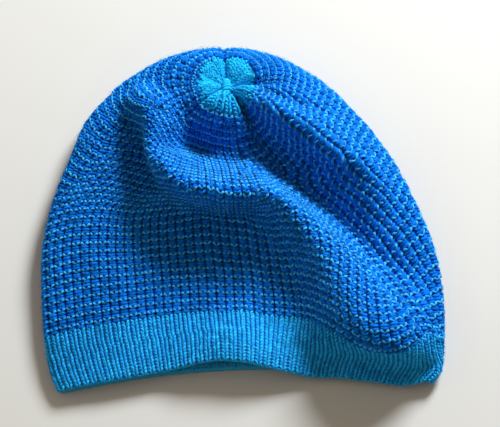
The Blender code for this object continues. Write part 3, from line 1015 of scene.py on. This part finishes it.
class MakeBody(bpy.types.Operator):
    """Knit the body in rows of light and blue yarn, front and back"""

    bl_idname = "beanie.make_body"
    bl_label = "Body stitches"

    FRONT_FACING = -0.25
    PULLED_JOIN = 0.75
    HIDDEN_SIDES = 4

    def execute(self, context):
        knit, colours = context.scene.beanie_knit, context.scene.beanie_colours
        rng = np.random.default_rng(knit.seed)
        rows = np.arange(STRIPE * knit.light_rows, dtype=float)
        is_light = rows % STRIPE == 1
        for tone, own_rows, colour, vee, thickness, lift, sides in (
            ("light", rows[is_light], colours.light_yarn, LIGHT_VEE, knit.light_thickness, 0.0003, 5),
            ("blue", rows[~is_light], colours.blue_yarn, BLUE_VEE, knit.blue_thickness, -0.0001, 4),
        ):
            vee = both_halves(vee)
            parts = {"front": [], "back": []}
            for skin, past in zip(skins_of(knit), (False, True)):
                widest = knit.widest_join * (self.PULLED_JOIN if past else 1.0)
                plan = column_plan(skin, own_rows, widest, past)
                _, normal = skin.read(plan[:, 0], skin.row(plan[:, 0], plan[:, 2]))
                front = normal[:, 2] > self.FRONT_FACING
                for half, on, points, around in (
                    ("front", front, vee, sides), ("back", ~front, vee[::2], self.HIDDEN_SIDES),
                ):
                    parts[half].append(vee_yarns(
                        skin, plan[on], points, thickness, knit.stitch_rise, lift, rng, around,
                    ))
            material = wool(f"{tone}_body_wool", colour)
            for half, found in parts.items():
                mesh_piece(f"{tone}_rows_{half}", *joined(found), material, ["knitted_body"], "blue_wool")
        return {"FINISHED"}


class MakeBand(bpy.types.Operator):
    """Knit the ribbed band, with the rows that show inside its mouth"""

    bl_idname = "beanie.make_band"
    bl_label = "Ribbed band"

    FIRST_ROW = 0.0004
    TOP_GAP = 0.6
    ROWS_INSIDE = 6
    # the yarn inside the mouth is greyer and warmer than the band's outer yarn: painted warm bounce light in
    # the shaded mouth
    INSIDE_PAINTED_BOUNCE_COLOUR = (0.050, 0.400, 0.720)

    def execute(self, context):
        knit, colours = context.scene.beanie_knit, context.scene.beanie_colours
        skin, _ = skins_of(knit)
        rng = np.random.default_rng(knit.seed + 1)
        pitch = knit.band_row_pitch
        rows = np.arange(self.FIRST_ROW, BAND_HEIGHT - self.TOP_GAP * pitch, pitch)
        ribs = np.arange(KNIT_COLUMNS) + 0.5
        between_ribs = np.arange(KNIT_COLUMNS) + 0.0
        outer, inner = wool("band_wool", colours.band_yarn), wool("band_wool_inside_painted_bounce", self.INSIDE_PAINTED_BOUNCE_COLOUR)
        for inside, name, material, columns, own_rows, lift, sides in (
            (False, "band_rib", outer, ribs, rows, 0.0002, 5),
            (True, "band_rib_inside", inner, between_ribs, rows[:self.ROWS_INSIDE], 0.0, 4),
        ):
            column, length = (a.ravel() for a in np.meshgrid(columns, own_rows))
            legs = leg_yarns(
                skin, column, 1.0, length, pitch, knit.band_yarn_thickness, lift, rng, sides, inside,
            )
            mesh_piece(name, *joined(legs), material, ["ribbed_band"], "light_wool")
        return {"FINISHED"}


class MakeCrown(bpy.types.Operator):
    """Knit the gathered crown and draw the knot together in its middle"""

    bl_idname = "beanie.make_crown"
    bl_label = "Gathered crown"

    # stitches round the crown, and the least length left to its middle where they hold
    ROUNDS = ((46, 0.0115), (23, 0.0055), (12, 0.0042))
    FIRST_ROW = GATHER_LENGTH + CROWN_MARGIN + FAR_LOBE - 0.0002
    EDGE_STRAY = 0.0012
    THICKEST = 0.0016
    YARN_SHARE = 0.40

    KNOT_LOOPS = 6
    KNOT_POINTS = 9
    KNOT_TURN = 0.62
    KNOT_TAPER = 0.8
    KNOT_HEIGHT = 1.05
    KNOT_TWIST = 0.35
    KNOT_LIFT = 0.0004
    KNOT_RADIUS = 0.00105
    KNOT_STRAY = 0.06

    def execute(self, context):
        knit = context.scene.beanie_knit
        skin, _ = skins_of(knit)
        rng = np.random.default_rng(knit.seed + 2)
        material = wool("crown_wool", context.scene.beanie_colours.crown_yarn)
        parts = []
        left = self.FIRST_ROW
        while left > self.ROUNDS[-1][1]:
            around = next(count for count, least in self.ROUNDS if left > least)
            size = KNIT_COLUMNS / around
            column = (np.arange(around) + 0.5) * size
            length = skin.full_length(column) - left
            stray = self.EDGE_STRAY * np.abs(rng.standard_normal(around))
            on = length > skin.gather_edge(column) + stray
            edge = skin.read(column + size / 2, length)[0] - skin.read(column - size / 2, length)[0]
            wide = float(np.linalg.norm(edge, axis=-1).mean())
            thick = min(self.THICKEST, self.YARN_SHARE * wide)
            parts += leg_yarns(skin, column[on], size, length[on], knit.crown_row_pitch, thick, 0.0, rng, 5)
            left -= knit.crown_row_pitch
        mesh_piece("crown_stitches", *joined(parts), material, ["crown_gather"], "turquoise_wool")
        self.knot(skin, material, rng)
        return {"FINISHED"}

    def knot(self, skin, material, rng):
        """Loops drawn together on one strand, side by side along the knot."""
        up = skin.pole_normal
        ahead = np.cross(np.cross(up, (0.0, 1.0, 0.0)), up)
        ahead /= np.linalg.norm(ahead)
        side = np.cross(ahead, up)
        turn = np.linspace(-self.KNOT_TURN, self.KNOT_TURN, self.KNOT_POINTS) * np.pi
        twist = self.KNOT_TWIST * np.sin(turn)
        centre, normal = np.empty((2, self.KNOT_LOOPS, self.KNOT_POINTS, 3))
        for k, share in enumerate(np.linspace(-1, 1, self.KNOT_LOOPS)):
            half = KNOT_HALF_WIDTH * np.sqrt(max(1 - self.KNOT_TAPER * share**2, 0.1))
            tall = half * self.KNOT_HEIGHT
            out = np.sin(turn)[:, None] * side * half + np.cos(turn)[:, None] * up * tall
            along = ahead * (share * KNOT_HALF_LENGTH)
            centre[k] = skin.pole + along + out + twist[:, None] * ahead * half + up * self.KNOT_LIFT
            normal[k] = out / np.linalg.norm(out, axis=1, keepdims=True)
        stray = 1 + self.KNOT_STRAY * rng.standard_normal((self.KNOT_LOOPS, 1))
        radius = np.full((self.KNOT_LOOPS, self.KNOT_POINTS), self.KNOT_RADIUS) * stray
        loops = yarn(centre, normal, radius, 6)
        mesh_piece("drawn_knot", *loops, material, ["gather_knot"], "turquoise_wool")


class MakeFuzz(bpy.types.Operator):
    """Cover the upper face with the wool's fine hairs"""

    bl_idname = "beanie.make_fuzz"
    bl_label = "Fuzz"

    POLE_GAP = 0.004

    def execute(self, context):
        knit, colours = context.scene.beanie_knit, context.scene.beanie_colours
        skin, _ = skins_of(knit)
        rng = np.random.default_rng(knit.seed + 3)
        wools = ((0.22, colours.band_yarn), (0.74, colours.light_yarn), (0.04, colours.crown_yarn))
        for (name, low, high, node, slot), (share, colour) in zip(parts_of(skin, self.POLE_GAP), wools):
            hairs = fibres(skin, low, high, int(share * knit.hairs), knit.hair_thickness, rng)
            material = wool(f"{name}_fuzz_hair", colour)
            mesh_piece(f"{name}_fuzz", *hairs, material, [node], slot)
        return {"FINISHED"}


class MakeStage(bpy.types.Operator):
    """Lay the floor and set the light and the camera"""

    bl_idname = "beanie.make_stage"
    bl_label = "Stage"

    FLOOR_HALF = 6.0
    # a light's place, size and colour, and the side light's power as a share of the key light's
    KEY_LIGHT = ((0.62, 1.05, 0.88), 0.6, (0.90, 0.96, 1.0))
    SIDE_LIGHT = ((-1.3, -0.1, 1.0), 0.9, (0.90, 0.95, 1.0))
    SIDE_SHARE = 0.045
    LIGHT_AIM = (0.0, 0.0, 0.02)
    AIR_COLOUR = (1.0, 0.84, 0.62, 1.0)
    AIR_STRENGTH = 0.32
    CAMERA_ELEVATION = 65.0
    CAMERA_AIM = (0.0048, 0.0, 0.018)
    CAMERA_RAISE = 0.0013
    SENSOR_WIDTH = 36.0
    PIXELS_PER_METRE = 1530.0
    PHOTO_WIDTH = 500.0

    def execute(self, context):
        scene, colours = context.scene, context.scene.beanie_colours
        mesh = bpy.data.meshes.new("floor")
        far = self.FLOOR_HALF
        corners = (-far, -far, 0), (far, -far, 0), (far, far, 0), (-far, far, 0)
        mesh.from_pydata(corners, [], [(0, 1, 2, 3)])
        mesh.materials.append(plain("pale_floor", tuple(colours.floor), 0.85))
        floor = bpy.data.objects.new("floor", mesh)
        scene.collection.objects.link(floor)
        self.light(scene, "key_light", colours.key_strength, *self.KEY_LIGHT)
        self.light(scene, "side_light", colours.key_strength * self.SIDE_SHARE, *self.SIDE_LIGHT)
        scene.world = bpy.data.worlds.new("studio")
        scene.world.use_nodes = True
        background = scene.world.node_tree.nodes["Background"]
        background.inputs["Color"].default_value = self.AIR_COLOUR
        background.inputs["Strength"].default_value = self.AIR_STRENGTH
        scene.view_settings.view_transform = "Standard"
        scene.view_settings.look = "None"
        self.camera(scene, colours.camera_distance)
        return {"FINISHED"}

    def light(self, scene, name, power, place, size, colour):
        """A round light that faces the hat."""
        lamp = bpy.data.lights.new(name, "AREA")
        lamp.shape = "DISK"
        lamp.size = size
        lamp.energy = power
        lamp.color = colour
        placed(scene, name, lamp, place, np.array(self.LIGHT_AIM) - place)

    def camera(self, scene, distance):
        """The camera at the photo's viewing angle."""
        elevation = np.radians(self.CAMERA_ELEVATION)
        back = np.array((0.0, -np.cos(elevation), np.sin(elevation)))
        up = np.array((0.0, np.sin(elevation), np.cos(elevation)))
        aim = np.array(self.CAMERA_AIM) + up * self.CAMERA_RAISE
        lens = bpy.data.cameras.new("camera")
        lens.sensor_width = self.SENSOR_WIDTH
        lens.lens = self.SENSOR_WIDTH * distance * self.PIXELS_PER_METRE / self.PHOTO_WIDTH
        lens.clip_start = 0.01
        scene.camera = placed(scene, "camera", lens, aim + back * distance, -back)


def placed(scene, name, data, place, along):
    """A light or a camera at its place, looking along a direction."""
    piece = bpy.data.objects.new(name, data)
    piece.location = place
    piece.rotation_mode = "QUATERNION"
    piece.rotation_quaternion = Vector(along).to_track_quat("-Z", "Y")
    scene.collection.objects.link(piece)
    return piece


class BEANIE_PT_panel(bpy.types.Panel):
    """The hat's pieces and settings"""

    bl_idname = "BEANIE_PT_panel"
    bl_label = "Beanie"
    bl_space_type = "VIEW_3D"
    bl_region_type = "UI"
    bl_category = "Beanie"

    def draw(self, context):
        for group in (context.scene.beanie_knit, context.scene.beanie_colours):
            box = self.layout.box()
            for name in group.__annotations__:
                box.prop(group, name)
        for operator in OPERATORS:
            self.layout.operator(operator.bl_idname)


OPERATORS = (MakeGround, MakeBody, MakeBand, MakeCrown, MakeFuzz, MakeStage)
CLASSES = (BeanieKnit, BeanieColours, *OPERATORS, BEANIE_PT_panel)


def register():
    for cls in CLASSES:
        bpy.utils.register_class(cls)
    bpy.types.Scene.beanie_knit = PointerProperty(type=BeanieKnit)
    bpy.types.Scene.beanie_colours = PointerProperty(type=BeanieColours)


def unregister():
    del bpy.types.Scene.beanie_knit
    del bpy.types.Scene.beanie_colours
    for cls in reversed(CLASSES):
        bpy.utils.unregister_class(cls)


def main():
    register()
    bpy.ops.beanie.make_ground()
    bpy.ops.beanie.make_body()
    bpy.ops.beanie.make_band()
    bpy.ops.beanie.make_crown()
    bpy.ops.beanie.make_fuzz()
    bpy.ops.beanie.make_stage()


if __name__ == "__main__":
    main()
